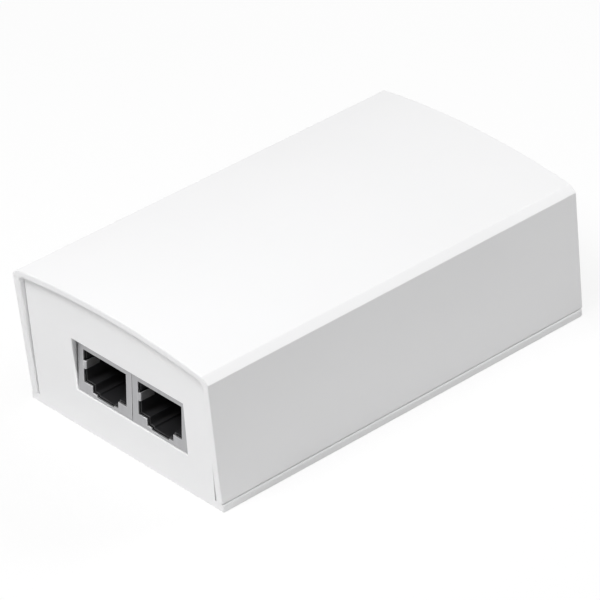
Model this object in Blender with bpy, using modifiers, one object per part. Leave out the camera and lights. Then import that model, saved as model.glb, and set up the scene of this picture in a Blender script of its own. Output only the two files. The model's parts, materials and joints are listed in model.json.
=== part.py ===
"""A mains-powered PoE injector.

A white leaning case holds a power supply board, two shielded network jacks at one end and a mains inlet
at the other. Metres, +Z up. The jack end faces -Y, and the origin lies under the middle of the case.
"""

import math

import bmesh
import bpy
from mathutils import Matrix

# Fits
SEAT = 0.00025
CUTOUT_GAP = 0.00030
SHEET_FIT = 0.00020
SCREW_FIT = 0.00015
WINDING_FIT = 0.00030
PART_GAP = 0.00120
CUT_OVERSHOOT = 0.00200

# Case
CASE_WIDTH = 0.0560
CASE_LENGTH = 0.1016
SHOULDER_HEIGHT = 0.0310
SHOULDER_RUN = 0.0016
SHOULDER_RISE = 0.0015
CROWN_RISE = 0.0021
SIDE_DRAFT = 0.0003
END_RAKE = math.radians(7.2)
SIDE_WALL = 0.0018
TOP_WALL = 0.0017
INNER_CORNER = 0.0012
END_ROUND = 0.0003
SEAM_GAP = 0.00035

# Base tray
BASE_EDGE = 0.0019
BASE_BEVEL = 0.0004
PANEL_WALL = 0.0020
PANEL_LEAN = math.radians(4.4)
PANEL_GAP = 0.00035
REAR_RECESS = 0.0004
LIP_WALL = 0.0012
LIP_HEIGHT = 0.0030
LIP_GAP = 0.0003

# Case screws and the bosses they join
SCREW_SHANK_RADIUS = 0.0011
SCREW_LENGTH = 0.0100
SCREW_HEAD_RADIUS = 0.0021
SCREW_HEAD_HEIGHT = 0.0016
SCREW_SLOT_LENGTH = 0.0028
SCREW_SLOT_WIDTH = 0.0006
SCREW_SLOT_DEPTH = 0.0008
HEAD_RECESS = 0.0006
HEAD_CLEARANCE = 0.0003
BASE_BOSS_WALL = 0.0008
BASE_BOSS_FLOOR = 0.0017
SHELL_BOSS_WALL = 0.0011
FRONT_BOSS_INSET = 0.0095
REAR_BOSS_INSET = 0.0125

# Circuit board and its posts
BOARD_TOP = 0.0093
BOARD_THICKNESS = 0.0016
BOARD_EDGE_GAP = 0.0004
BOARD_MARGIN = 0.0007
NOTCH_GAP = 0.0005
POST_WALL = 0.0014
POST_INSET = 0.0045
FRONT_POST_INSET = 0.0165
REAR_POST_INSET = 0.0215
BOARD_SCREW_LENGTH = 0.0045

# Network jacks
JACK_PITCH = 0.0158
JACK_SIDE_MARGIN = 0.00965
JACK_WIDTH = 0.0155
JACK_HEIGHT = 0.0118
JACK_DEPTH = 0.0185
JACK_SETBACK = 0.0002
SHIELD_SHEET = 0.0004
OPENING_WIDTH = 0.0124
OPENING_HEIGHT = 0.0076
OPENING_SILL = 0.0023
OPENING_LIP = 0.00025
LATCH_WIDTH = 0.0075
LATCH_DROP = 0.00155
LATCH_STEP_WIDTH = 0.0050
LATCH_STEP_DROP = 0.00045
FINGER_REACH = 0.0006
FINGER_LENGTH = 0.0038
FINGER_HEIGHT = 0.0019
FINGER_SHEET = 0.0003
FINGER_BEND = 0.00035
FINGER_SETBACK = 0.00005
FINGER_RISE = 0.00405
PLUG_DEPTH = 0.0133
HOUSING_ROOF = 0.0009
TONGUE_THICKNESS = 0.0005

# Sprung contact wires
CONTACT_COUNT = 8
CONTACT_PITCH = 0.00102
CONTACT_RADIUS = 0.00022
CONTACT_SETBACK = 0.0034
CONTACT_LENGTH = 0.0080
CONTACT_DROOP = math.radians(19.0)
CONTACT_TIP = 0.0008

# Mains inlet
INLET_WIDTH = 0.0274
INLET_HEIGHT = 0.0188
INLET_DEPTH = 0.0220
INLET_CORNER = 0.0036
INLET_SETBACK = 0.0002
RECESS_WIDTH = 0.0242
RECESS_HEIGHT = 0.0162
RECESS_DEPTH = 0.0166
RECESS_CORNER = 0.0052
PIN_WIDTH = 0.0020
PIN_HEIGHT = 0.0040
PIN_SPREAD = 0.0070
PIN_DROP = 0.0010
EARTH_RISE = 0.0040
PIN_SHORTFALL = 0.0026
PIN_TAB = 0.0020

# Parts on the board
OUTPUT_CAN_RADIUS = 0.0050
OUTPUT_CAN_HEIGHT = 0.0160
BULK_CAN_RADIUS = 0.0070
BULK_CAN_HEIGHT = 0.0175
CAN_GROOVE = 0.0005
CAN_GROOVE_HEIGHT = 0.0018
CAN_ROUND = 0.0007
LAN_WIDTH = 0.0160
LAN_DEPTH = 0.0090
LAN_HEIGHT = 0.0056
LAN_PINS = 8
LAN_PIN_WIDTH = 0.0006
LAN_PIN_PITCH = 0.0018
LAN_PIN_REACH = 0.0008
LAN_PIN_HEIGHT = 0.0015
OUTPUT_CHOKE_RADIUS = 0.0045
OUTPUT_CHOKE_HEIGHT = 0.0110
OUTPUT_CHOKE_FLANGE = 0.0014
OUTPUT_CHOKE_WAIST = 0.0034
OPTO_WIDTH = 0.0046
OPTO_LENGTH = 0.0065
OPTO_HEIGHT = 0.0035
DIODE_RADIUS = 0.00265
DIODE_LENGTH = 0.0095
DIODE_SPAN = 0.0140
DIODE_LEAD_RADIUS = 0.0006
DIODE_LIFT = 0.0010
DISC_RADIUS = 0.0045
DISC_THICKNESS = 0.0040
DISC_ROUND = 0.0010
CORE_THICKNESS = 0.0065
CORE_OUTER_LEG = 0.0028
CORE_YOKE = 0.0031
CORE_LEG_SHARE = 0.36
WINDING_HEIGHT = 0.0164
HEATSINK_LENGTH = 0.0180
HEATSINK_HEIGHT = 0.0172
HEATSINK_REACH = 0.0050
HEATSINK_WALL = 0.0015
SWITCHER_WIDTH = 0.0100
SWITCHER_TAB = 0.0013
SWITCHER_BODY = 0.0031
SWITCHER_BODY_HEIGHT = 0.0092
SWITCHER_HEIGHT = 0.0155
SWITCHER_HOLE = 0.0018
SWITCHER_LEG = 0.0008
SWITCHER_LEG_LENGTH = 0.0030
SWITCHER_LEG_PITCH = 0.00254
BRIDGE_WIDTH = 0.0145
BRIDGE_DEPTH = 0.0036
BRIDGE_HEIGHT = 0.0110
BRIDGE_CORNER = 0.0025
FILM_WIDTH = 0.0130
FILM_DEPTH = 0.0060
FILM_HEIGHT = 0.0115
FILM_BEVEL = 0.0005
CHOKE_LENGTH = 0.0100
CHOKE_LIMB = 0.0035
CHOKE_YOKE = 0.0030
CHOKE_THICKNESS = 0.0040
CHOKE_WINDING = 0.0016
FUSE_RADIUS = 0.0042
FUSE_HEIGHT = 0.0076
FUSE_ROUND = 0.0006

# Smoothness of curved shapes
CROWN_STEPS = 20
CORNER_STEPS = 4
END_ROUND_STEPS = 3
ROUND_SIDES = 24
SMALL_ROUND_SIDES = 16
SHARP_ANGLE = math.radians(35)

# Finishes: colour, roughness, metallic
FINISHES = {
    "case_white": ((0.86, 0.86, 0.87), 0.38, 0.0),
    "jack_black": ((0.012, 0.012, 0.013), 0.45, 0.0),
    "jack_shield": ((0.62, 0.62, 0.63), 0.32, 1.0),
    "contact_gold": ((0.83, 0.62, 0.24), 0.25, 1.0),
    "inlet_black": ((0.018, 0.018, 0.019), 0.42, 0.0),
    "plated_pin": ((0.70, 0.69, 0.66), 0.30, 1.0),
    "screw_steel": ((0.50, 0.50, 0.51), 0.35, 1.0),
    "board_green": ((0.035, 0.16, 0.07), 0.45, 0.0),
    "can_sleeve": ((0.025, 0.027, 0.032), 0.40, 0.0),
    "component_black": ((0.022, 0.022, 0.024), 0.55, 0.0),
    "ferrite_grey": ((0.075, 0.075, 0.08), 0.65, 0.0),
    "winding_tape": ((0.72, 0.56, 0.10), 0.45, 0.0),
    "winding_copper": ((0.62, 0.25, 0.10), 0.35, 1.0),
    "heatsink_metal": ((0.66, 0.67, 0.68), 0.40, 1.0),
    "film_yellow": ((0.70, 0.52, 0.08), 0.45, 0.0),
    "disc_blue": ((0.06, 0.16, 0.36), 0.45, 0.0),
    "fuse_brown": ((0.14, 0.055, 0.03), 0.45, 0.0),
}

# Case planes
CASE_HEIGHT = SHOULDER_HEIGHT + SHOULDER_RISE + CROWN_RISE
RAKE_SLOPE = math.tan(END_RAKE)
LEAN_SLOPE = math.tan(PANEL_LEAN)
OVERHANG = CASE_HEIGHT * RAKE_SLOPE
FRONT_Y = -(CASE_LENGTH - OVERHANG) / 2
BACK_Y = FRONT_Y + CASE_LENGTH
FOOT_WIDTH = CASE_WIDTH - 2 * SIDE_DRAFT
CROWN_HALF = CASE_WIDTH / 2 - SHOULDER_RUN
CROWN_RADIUS = (CROWN_HALF**2 + CROWN_RISE**2) / (2 * CROWN_RISE)
SHELL_BOTTOM = BASE_EDGE + SEAM_GAP

# Places of the jacks
JACK_OFFSET = (CASE_WIDTH - JACK_PITCH - JACK_WIDTH) / 2 - JACK_SIDE_MARGIN
BOARD_BOTTOM = BOARD_TOP - BOARD_THICKNESS
PART_BOTTOM = BOARD_TOP + SEAT
JACK_TOP = PART_BOTTOM + JACK_HEIGHT
OPENING_BOTTOM = PART_BOTTOM + OPENING_SILL
OPENING_TOP = OPENING_BOTTOM + OPENING_HEIGHT
HOUSING_TOP = JACK_TOP - SHIELD_SHEET - SHEET_FIT
BAY_TOP = HOUSING_TOP - HOUSING_ROOF
TONGUE_TOP = BAY_TOP - SEAT
TONGUE_BOTTOM = TONGUE_TOP - TONGUE_THICKNESS
CARRIER_HALF = (CONTACT_COUNT - 1) * CONTACT_PITCH / 2 + 4 * CONTACT_RADIUS
BAY_HALF = CARRIER_HALF + SEAT


def front_panel_y(z):
    """The outer face of the jack-end panel at a height."""
    return FRONT_Y - z * LEAN_SLOPE


def rear_panel_y(z):
    """The outer face of the inlet-end panel at a height: nearly flush at the shoulder, deeper below."""
    flush = BACK_Y - SHOULDER_HEIGHT * RAKE_SLOPE - REAR_RECESS
    return flush + (SHOULDER_HEIGHT - z) * LEAN_SLOPE


JACK_FACE = front_panel_y(PART_BOTTOM) + JACK_SETBACK
JACK_REAR = JACK_FACE + JACK_DEPTH
CONTACT_PIVOT_Y = JACK_FACE + CONTACT_SETBACK
CONTACT_PIVOT_Z = TONGUE_BOTTOM - SEAT - CONTACT_RADIUS

# Place of the inlet
INLET_FACE = rear_panel_y(PART_BOTTOM + INLET_HEIGHT) - INLET_SETBACK
INLET_MIDDLE = PART_BOTTOM + INLET_HEIGHT / 2
PIN_MIDDLE = INLET_MIDDLE - PIN_DROP

# Board outline and bosses
COUNTERBORE_RADIUS = SCREW_HEAD_RADIUS + HEAD_CLEARANCE
BASE_BOSS_RADIUS = COUNTERBORE_RADIUS + BASE_BOSS_WALL
SHELL_BOSS_RADIUS = SCREW_SHANK_RADIUS + SCREW_FIT + SHELL_BOSS_WALL
SCREW_SEAT_Z = HEAD_RECESS + SCREW_HEAD_HEIGHT
COUNTERBORE_TOP = SCREW_SEAT_Z + SEAT
BASE_BOSS_TOP = COUNTERBORE_TOP + BASE_BOSS_FLOOR
INNER_FOOT_HALF = FOOT_WIDTH / 2 - SIDE_WALL
BOSS_X = INNER_FOOT_HALF - LIP_GAP - BASE_BOSS_RADIUS
BOSS_PLACES = [
    (side * BOSS_X, y) for y in (FRONT_Y + FRONT_BOSS_INSET, BACK_Y - REAR_BOSS_INSET) for side in (-1, 1)
]
BOARD_HALF = INNER_FOOT_HALF - BOARD_EDGE_GAP
BOARD_FRONT = front_panel_y(BOARD_BOTTOM) + PANEL_WALL + BOARD_EDGE_GAP
BOARD_REAR = rear_panel_y(BOARD_TOP) - PANEL_WALL - BOARD_EDGE_GAP
POST_RADIUS = SCREW_SHANK_RADIUS + SCREW_FIT + POST_WALL
POST_X = BOARD_HALF - POST_INSET
POST_PLACES = [
    (side * POST_X, y) for y in (FRONT_Y + FRONT_POST_INSET, BACK_Y - REAR_POST_INSET) for side in (-1, 1)
]
BOARD_SCREW_PLACES = [POST_PLACES[0], POST_PLACES[3]]
PART_LEFT = -BOARD_HALF + BOARD_MARGIN
PART_RIGHT = BOARD_HALF - BOARD_MARGIN

# Room left for the magnetics, the transformer and the mains filter
LAN_REAR = JACK_REAR + PART_GAP + LAN_DEPTH
DIODE_ROW = LAN_REAR + PART_GAP
SWITCHER_LEFT = PART_RIGHT - HEATSINK_WALL - SEAT - SWITCHER_TAB - SWITCHER_BODY
CHOKE_REAR = INLET_FACE - INLET_DEPTH - PIN_TAB - PART_GAP
CHOKE_LEFT = PART_LEFT + BRIDGE_WIDTH + PART_GAP
CHOKE_RIGHT = PART_RIGHT - 2 * FUSE_RADIUS - PART_GAP
CHOKE_WIDTH = CHOKE_RIGHT - CHOKE_LEFT - 2 * (WINDING_FIT + CHOKE_WINDING)
CORE_FRONT = DIODE_ROW + max(OPTO_LENGTH, 2 * DIODE_RADIUS) + PART_GAP
CORE_REAR = CHOKE_REAR - CHOKE_LENGTH - PART_GAP
CORE_LENGTH = CORE_REAR - CORE_FRONT
CORE_LEFT = PART_LEFT + 2 * BULK_CAN_RADIUS + PART_GAP
CORE_RIGHT = min(SWITCHER_LEFT, PART_RIGHT - HEATSINK_REACH) - PART_GAP
CORE_WIDTH = CORE_RIGHT - CORE_LEFT
CORE_CENTRE_LEG = CORE_LEG_SHARE * (CORE_WIDTH - 2 * CORE_OUTER_LEG)
CORE_WINDOW_WIDTH = (CORE_WIDTH - CORE_CENTRE_LEG) / 2 - CORE_OUTER_LEG
CORE_WINDOW_LENGTH = CORE_LENGTH - 2 * CORE_YOKE

# Axes of an extruded outline: the outline's two directions, then its thickness
ALONG_X = Matrix(((0, 0, 1, 0), (1, 0, 0, 0), (0, 1, 0, 0), (0, 0, 0, 1)))
ALONG_Y = Matrix(((1, 0, 0, 0), (0, 0, -1, 0), (0, 1, 0, 0), (0, 0, 0, 1)))
ALONG_Z = Matrix.Identity(4)


def clear_scene():
    for obj in list(bpy.data.objects):
        bpy.data.objects.remove(obj, do_unlink=True)


def new_collection(name):
    collection = bpy.data.collections.new(name)
    bpy.context.scene.collection.children.link(collection)
    return collection


def make_finishes():
    made = {}
    for name, (colour, roughness, metallic) in FINISHES.items():
        material = bpy.data.materials.new(name)
        material.use_nodes = True
        shader = material.node_tree.nodes["Principled BSDF"]
        shader.inputs["Base Color"].default_value = (*colour, 1.0)
        shader.inputs["Roughness"].default_value = roughness
        shader.inputs["Metallic"].default_value = metallic
        made[name] = material
    return made


clear_scene()
PARTS = new_collection("poe_injector")
TOOLS = new_collection("cutters")
MATERIALS = make_finishes()


def part(name, mesh, finish, location=(0, 0, 0)):
    """A named piece of the injector."""
    mesh.name = name
    mesh.materials.clear()
    mesh.materials.append(MATERIALS[finish])
    obj = bpy.data.objects.new(name, mesh)
    obj.location = location
    PARTS.objects.link(obj)
    return obj


def tool(name, mesh, location=(0, 0, 0), turn=0.0):
    """A helper shape that is cut from a piece or joined to it."""
    obj = bpy.data.objects.new(name, mesh)
    obj.location = location
    obj.rotation_euler = (0, 0, turn)
    obj.hide_render = True
    obj.display_type = "WIRE"
    return obj


def combine(owner, operation, tools):
    """Cuts the tools from the owner, joins them to it or keeps what they share."""
    group = bpy.data.collections.new(f"{owner.name}_{operation.lower()}")
    TOOLS.children.link(group)
    owner.data.shade_flat()
    for helper in tools:
        group.objects.link(helper)
        helper.data.shade_flat()
    boolean = owner.modifiers.new(operation.title(), "BOOLEAN")
    boolean.operation = operation
    boolean.solver = "EXACT"
    boolean.operand_type = "COLLECTION"
    boolean.collection = group


def mesh_from(graph):
    mesh = bpy.data.meshes.new("shape")
    graph.to_mesh(mesh)
    graph.free()
    return mesh


def smooth_rounds(mesh):
    """Smooth shading over rounded stretches, with crisp edges between flat ones."""
    mesh.shade_smooth()
    mesh.set_sharp_from_angle(angle=SHARP_ANGLE)


def box_mesh(width, depth, height):
    graph = bmesh.new()
    bmesh.ops.create_cube(graph, size=1.0)
    bmesh.ops.scale(graph, vec=(width, depth, height), verts=graph.verts)
    return mesh_from(graph)


def cylinder_mesh(radius, height, sides=ROUND_SIDES):
    graph = bmesh.new()
    bmesh.ops.create_cone(
        graph, cap_ends=True, segments=sides, radius1=radius, radius2=radius, depth=height
    )
    mesh = mesh_from(graph)
    smooth_rounds(mesh)
    return mesh


def solid_from_curve(curve, axes):
    """The closed mesh of a curve, with its caps welded."""
    guide = bpy.data.objects.new("guide", curve)
    bpy.context.scene.collection.objects.link(guide)
    bpy.context.view_layer.update()
    evaluated = guide.evaluated_get(bpy.context.evaluated_depsgraph_get())
    mesh = bpy.data.meshes.new_from_object(evaluated)
    bpy.data.objects.remove(guide, do_unlink=True)
    bpy.data.curves.remove(curve)
    graph = bmesh.new()
    graph.from_mesh(mesh)
    bmesh.ops.remove_doubles(graph, verts=graph.verts, dist=1e-6)
    bmesh.ops.transform(graph, matrix=axes, verts=graph.verts)
    bmesh.ops.recalc_face_normals(graph, faces=graph.faces)
    graph.to_mesh(mesh)
    graph.free()
    smooth_rounds(mesh)
    return mesh


def outline_mesh(loops, thickness, axes):
    """A flat outline and its holes, made solid about the middle of its thickness."""
    curve = bpy.data.curves.new("outline", "CURVE")
    curve.dimensions = "2D"
    curve.fill_mode = "BOTH"
    curve.extrude = thickness / 2
    for loop in loops:
        spline = curve.splines.new("POLY")
        spline.points.add(len(loop) - 1)
        for point, (across, up) in zip(spline.points, loop):
            point.co = (across, up, 0, 1)
        spline.use_cyclic_u = True
    return solid_from_curve(curve, axes)


def wire_mesh(points, radius):
    """A round wire with closed ends."""
    curve = bpy.data.curves.new("wire", "CURVE")
    curve.dimensions = "3D"
    curve.bevel_depth = radius
    curve.bevel_resolution = 1
    curve.use_fill_caps = True
    spline = curve.splines.new("POLY")
    spline.points.add(len(points) - 1)
    for point, place in zip(spline.points, points):
        point.co = (*place, 1)
    return solid_from_curve(curve, ALONG_Z)


def turned(name, profile, finish, location, sides=ROUND_SIDES):
    """A turned piece: its profile is (radius, height), from the top of the axis to the bottom."""
    mesh = bpy.data.meshes.new(name)
    edges = [(i, i + 1) for i in range(len(profile) - 1)]
    mesh.from_pydata([(radius, 0, z) for radius, z in profile], edges, [])
    obj = part(name, mesh, finish, location)
    spin = obj.modifiers.new("Turn", "SCREW")
    spin.angle = math.tau
    spin.steps = sides
    spin.render_steps = sides
    spin.use_smooth_shade = False
    spin.use_merge_vertices = True
    spin.merge_threshold = 1e-6
    return obj


def slope_ends(mesh, slope):
    """Leans a mesh forward as it rises."""
    for vertex in mesh.vertices:
        vertex.co.y -= slope * vertex.co.z
    mesh.update()


def rectangle(width, height, middle=(0.0, 0.0)):
    across, up = middle
    return [
        (across - width / 2, up - height / 2),
        (across + width / 2, up - height / 2),
        (across + width / 2, up + height / 2),
        (across - width / 2, up + height / 2),
    ]


def circle(radius, middle=(0.0, 0.0), sides=SMALL_ROUND_SIDES):
    turns = [math.tau * i / sides for i in range(sides)]
    return [(middle[0] + radius * math.cos(t), middle[1] + radius * math.sin(t)) for t in turns]


def fillet(before, corner, after, radius):
    """Points of the arc that rounds a corner between two straight runs."""
    runs = []
    for end in (before, after):
        length = math.dist(corner, end)
        runs.append(((end[0] - corner[0]) / length, (end[1] - corner[1]) / length))
    half = math.acos(runs[0][0] * runs[1][0] + runs[0][1] * runs[1][1]) / 2
    bisector = (runs[0][0] + runs[1][0], runs[0][1] + runs[1][1])
    reach = radius / math.sin(half) / math.hypot(*bisector)
    centre = (corner[0] + bisector[0] * reach, corner[1] + bisector[1] * reach)
    tangents = [
        (corner[0] + run[0] * radius / math.tan(half), corner[1] + run[1] * radius / math.tan(half))
        for run in runs
    ]
    start, end = (math.atan2(t[1] - centre[1], t[0] - centre[0]) for t in tangents)
    sweep = (end - start + math.pi) % math.tau - math.pi
    turns = [start + sweep * i / CORNER_STEPS for i in range(CORNER_STEPS + 1)]
    return [(centre[0] + radius * math.cos(t), centre[1] + radius * math.sin(t)) for t in turns]


def side_half(z):
    """Half the case's outer width at a height."""
    return FOOT_WIDTH / 2 + SIDE_DRAFT * z / SHOULDER_HEIGHT


def crown_z(x, depth=0.0):
    """The height of the crowned top, or of a surface that lies this deep under it."""
    return CASE_HEIGHT - CROWN_RADIUS + math.sqrt((CROWN_RADIUS - depth) ** 2 - x**2)


def crown(half, depth=0.0):
    places = [half * (2 * i / CROWN_STEPS - 1) for i in range(CROWN_STEPS + 1)]
    return [(x, crown_z(x, depth)) for x in places]


def mirrored(points):
    return [(-x, z) for x, z in reversed(points)]


def tunnel(bottom, inset=0.0):
    """The inside of the top shell's section, open at the bottom, left to right, drawn in by an inset."""
    depth = TOP_WALL + inset
    corner_x = side_half(SHOULDER_HEIGHT) - SIDE_WALL - inset
    corner = (-corner_x, crown_z(corner_x, depth))
    foot = (-side_half(bottom) + SIDE_WALL + inset, bottom)
    crown_half = corner_x - 2 * INNER_CORNER
    crown_start = (-crown_half, crown_z(crown_half, depth))
    rounded = fillet(foot, corner, crown_start, INNER_CORNER)
    return [foot] + rounded + crown(crown_half, depth) + mirrored(rounded) + [(-foot[0], bottom)]


def join_ends(mesh):
    """Makes each end of a mesh that runs along y one face."""
    graph = bmesh.new()
    graph.from_mesh(mesh)
    for end in (-1, 1):
        facing = [face for face in graph.faces if end * face.normal.y > math.cos(SHARP_ANGLE)]
        bmesh.ops.dissolve_faces(graph, faces=facing)
    graph.to_mesh(mesh)
    graph.free()


def round_ends(shell, outline):
    """Rounds the edges where the shell's outer faces meet its two ends."""
    mesh = shell.data
    join_ends(mesh)
    weights = mesh.attributes.new("bevel_weight_edge", "FLOAT", "EDGE").data
    for edge in mesh.edges:
        a, b = (mesh.vertices[i].co for i in edge.vertices)
        across_end = abs(a.y - b.y) < 1e-6
        on_outline = all(any(math.dist((c.x, c.z), p) < 1e-6 for p in outline) for c in (a, b))
        weights[edge.index].value = float(across_end and on_outline)
    soft = shell.modifiers.new("Round ends", "BEVEL")
    soft.limit_method = "WEIGHT"
    soft.width = END_ROUND
    soft.segments = END_ROUND_STEPS


def make_top_shell():
    bottom = SHELL_BOTTOM
    left = [(-side_half(bottom), bottom), (-side_half(SHOULDER_HEIGHT), SHOULDER_HEIGHT)]
    outer = left + crown(CROWN_HALF) + mirrored(left)
    inner = list(reversed(tunnel(bottom)))
    mesh = outline_mesh([outer + inner], CASE_LENGTH, ALONG_Y)
    for vertex in mesh.vertices:
        vertex.co.y += FRONT_Y + CASE_LENGTH / 2
    shell = part("top_shell", mesh, "case_white")
    round_ends(shell, outer)
    slope_ends(mesh, RAKE_SLOPE)
    boss_bottom = BASE_BOSS_TOP + SEAT
    bosses = []
    bores = []
    for x, y in BOSS_PLACES:
        top = crown_z(x, TOP_WALL / 2)
        height = top - boss_bottom
        column = cylinder_mesh(SHELL_BOSS_RADIUS, height, SMALL_ROUND_SIDES)
        bosses.append(tool("shell_boss", column, (x, y, boss_bottom + height / 2)))
        bore_top = SCREW_SEAT_Z + SCREW_LENGTH + CUT_OVERSHOOT
        bore_bottom = boss_bottom - CUT_OVERSHOOT
        bore = cylinder_mesh(SCREW_SHANK_RADIUS + SCREW_FIT, bore_top - bore_bottom, SMALL_ROUND_SIDES)
        bores.append(tool("shell_bore", bore, (x, y, (bore_top + bore_bottom) / 2)))
    combine(shell, "UNION", bosses)
    combine(shell, "DIFFERENCE", bores)


def tray_side_view():
    """The floor and both end panels seen from the side, taller than the panels end up."""
    top = CASE_HEIGHT
    floor = BASE_EDGE
    return [
        (FRONT_Y, 0.0),
        (front_panel_y(top), top),
        (front_panel_y(top) + PANEL_WALL, top),
        (front_panel_y(floor) + PANEL_WALL, floor),
        (rear_panel_y(floor) - PANEL_WALL, floor),
        (rear_panel_y(top) - PANEL_WALL, top),
        (rear_panel_y(top), top),
        (rear_panel_y(floor), floor),
        (BACK_Y - floor * RAKE_SLOPE, floor),
        (BACK_Y, 0.0),
    ]


def tray_end_view():
    """The floor's edge, with its small upper bevel, and above it a panel that fits inside the shell."""
    half = FOOT_WIDTH / 2
    low = -CUT_OVERSHOOT
    left = [(-half, low), (-half, BASE_EDGE - BASE_BEVEL), (-half + BASE_BEVEL, BASE_EDGE)]
    panel = tunnel(BASE_EDGE, PANEL_GAP)
    return left + panel + mirrored(left)


def make_base_tray():
    tray = part("base_tray", outline_mesh([tray_side_view()], 2 * CASE_WIDTH, ALONG_X), "case_white")
    middle = FRONT_Y + CASE_LENGTH / 2
    envelope = outline_mesh([tray_end_view()], 2 * CASE_LENGTH, ALONG_Y)
    combine(tray, "INTERSECT", [tool("tray_envelope", envelope, (0, middle, 0))])
    adds = []
    cuts = []
    root = BASE_EDGE / 2
    lip_x = INNER_FOOT_HALF - LIP_GAP - LIP_WALL / 2
    lip_length = POST_PLACES[-1][1] - POST_PLACES[0][1]
    lip_middle = (POST_PLACES[-1][1] + POST_PLACES[0][1]) / 2
    lip_top = BASE_EDGE + LIP_HEIGHT
    for side in (-1, 1):
        lip = box_mesh(LIP_WALL, lip_length, lip_top - root)
        adds.append(tool("tray_lip", lip, (side * lip_x, lip_middle, (lip_top + root) / 2)))
    for x, y in BOSS_PLACES:
        boss = cylinder_mesh(BASE_BOSS_RADIUS, BASE_BOSS_TOP - root, SMALL_ROUND_SIDES)
        adds.append(tool("tray_boss", boss, (x, y, (BASE_BOSS_TOP + root) / 2)))
        bore = cylinder_mesh(SCREW_SHANK_RADIUS + SCREW_FIT, 4 * BASE_BOSS_TOP, SMALL_ROUND_SIDES)
        cuts.append(tool("screw_hole", bore, (x, y, BASE_BOSS_TOP)))
        pocket_height = COUNTERBORE_TOP + CUT_OVERSHOOT
        pocket = cylinder_mesh(COUNTERBORE_RADIUS, pocket_height)
        cuts.append(tool("head_pocket", pocket, (x, y, COUNTERBORE_TOP - pocket_height / 2)))
    post_top = BOARD_BOTTOM - SEAT
    for place in POST_PLACES:
        post = cylinder_mesh(POST_RADIUS, post_top - root, SMALL_ROUND_SIDES)
        adds.append(tool("board_post", post, (*place, (post_top + root) / 2)))
    pilot_height = post_top - BASE_EDGE + CUT_OVERSHOOT
    for place in BOARD_SCREW_PLACES:
        pilot = cylinder_mesh(SCREW_SHANK_RADIUS + SCREW_FIT, pilot_height, SMALL_ROUND_SIDES)
        cuts.append(tool("post_bore", pilot, (*place, BASE_EDGE + pilot_height / 2)))
    window_width = JACK_PITCH + JACK_WIDTH + 2 * CUTOUT_GAP
    window_height = JACK_HEIGHT + 2 * CUTOUT_GAP
    window = box_mesh(window_width, 4 * PANEL_WALL, window_height)
    cuts.append(tool("jack_window", window, (JACK_OFFSET, JACK_FACE, PART_BOTTOM + JACK_HEIGHT / 2)))
    inlet_hole = outline_mesh([inlet_outline(CUTOUT_GAP)], 6 * PANEL_WALL, ALONG_Y)
    cuts.append(tool("inlet_window", inlet_hole, (0, INLET_FACE, INLET_MIDDLE)))
    combine(tray, "UNION", adds)
    combine(tray, "DIFFERENCE", cuts)


def make_screw(name, place, length, head_down):
    """A pan-head screw with a crossed recess, its head against a seat at the place."""
    tip = SCREW_SHANK_RADIUS / 2
    edge = SCREW_HEAD_HEIGHT / 4
    profile = [
        (0.0, length),
        (tip, length),
        (SCREW_SHANK_RADIUS, length - SCREW_SHANK_RADIUS),
        (SCREW_SHANK_RADIUS, 0.0),
        (SCREW_HEAD_RADIUS, 0.0),
        (SCREW_HEAD_RADIUS, -SCREW_HEAD_HEIGHT + edge),
        (SCREW_HEAD_RADIUS - edge, -SCREW_HEAD_HEIGHT),
        (0.0, -SCREW_HEAD_HEIGHT),
    ]
    if not head_down:
        profile = [(radius, -z) for radius, z in reversed(profile)]
    screw = turned(name, profile, "screw_steel", place, SMALL_ROUND_SIDES)
    outward = -1 if head_down else 1
    slot_z = place[2] + outward * SCREW_HEAD_HEIGHT
    slots = []
    for turn in (0.0, math.pi / 2):
        slot = box_mesh(SCREW_SLOT_WIDTH, SCREW_SLOT_LENGTH, 2 * SCREW_SLOT_DEPTH)
        slots.append(tool("screw_slot", slot, (place[0], place[1], slot_z), turn))
    combine(screw, "DIFFERENCE", slots)


def make_screws():
    for number, (x, y) in enumerate(BOSS_PLACES, 1):
        make_screw(f"housing_screw_{number}", (x, y, SCREW_SEAT_Z), SCREW_LENGTH, head_down=True)
    for number, (x, y) in enumerate(BOARD_SCREW_PLACES, 1):
        make_screw(f"board_screw_{number}", (x, y, PART_BOTTOM), BOARD_SCREW_LENGTH, head_down=False)


def make_board():
    reach = SHELL_BOSS_RADIUS + NOTCH_GAP
    right = [(BOARD_HALF, BOARD_FRONT)]
    for x, y in BOSS_PLACES[1::2]:
        right += [(BOARD_HALF, y - reach), (x - reach, y - reach)]
        right += [(x - reach, y + reach), (BOARD_HALF, y + reach)]
    right.append((BOARD_HALF, BOARD_REAR))
    left = [(-x, y) for x, y in reversed(right)]
    holes = [circle(SCREW_SHANK_RADIUS + SCREW_FIT, place) for place in BOARD_SCREW_PLACES]
    mesh = outline_mesh([right + left] + holes, BOARD_THICKNESS, ALONG_Z)
    part("main_board", mesh, "board_green", (0, 0, BOARD_TOP - BOARD_THICKNESS / 2))


def plug_outline(lip, top):
    """A jack's opening seen from the front, with its stepped latch slot, drawn in by a lip."""
    half = OPENING_WIDTH / 2 - lip
    latch = LATCH_WIDTH / 2 - lip
    step = LATCH_STEP_WIDTH / 2 - lip
    floor = OPENING_BOTTOM + lip
    latch_floor = floor - LATCH_DROP
    left = [
        (-step, latch_floor - LATCH_STEP_DROP),
        (-step, latch_floor),
        (-latch, latch_floor),
        (-latch, floor),
        (-half, floor),
        (-half, top),
    ]
    return left + mirrored(left)


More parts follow.
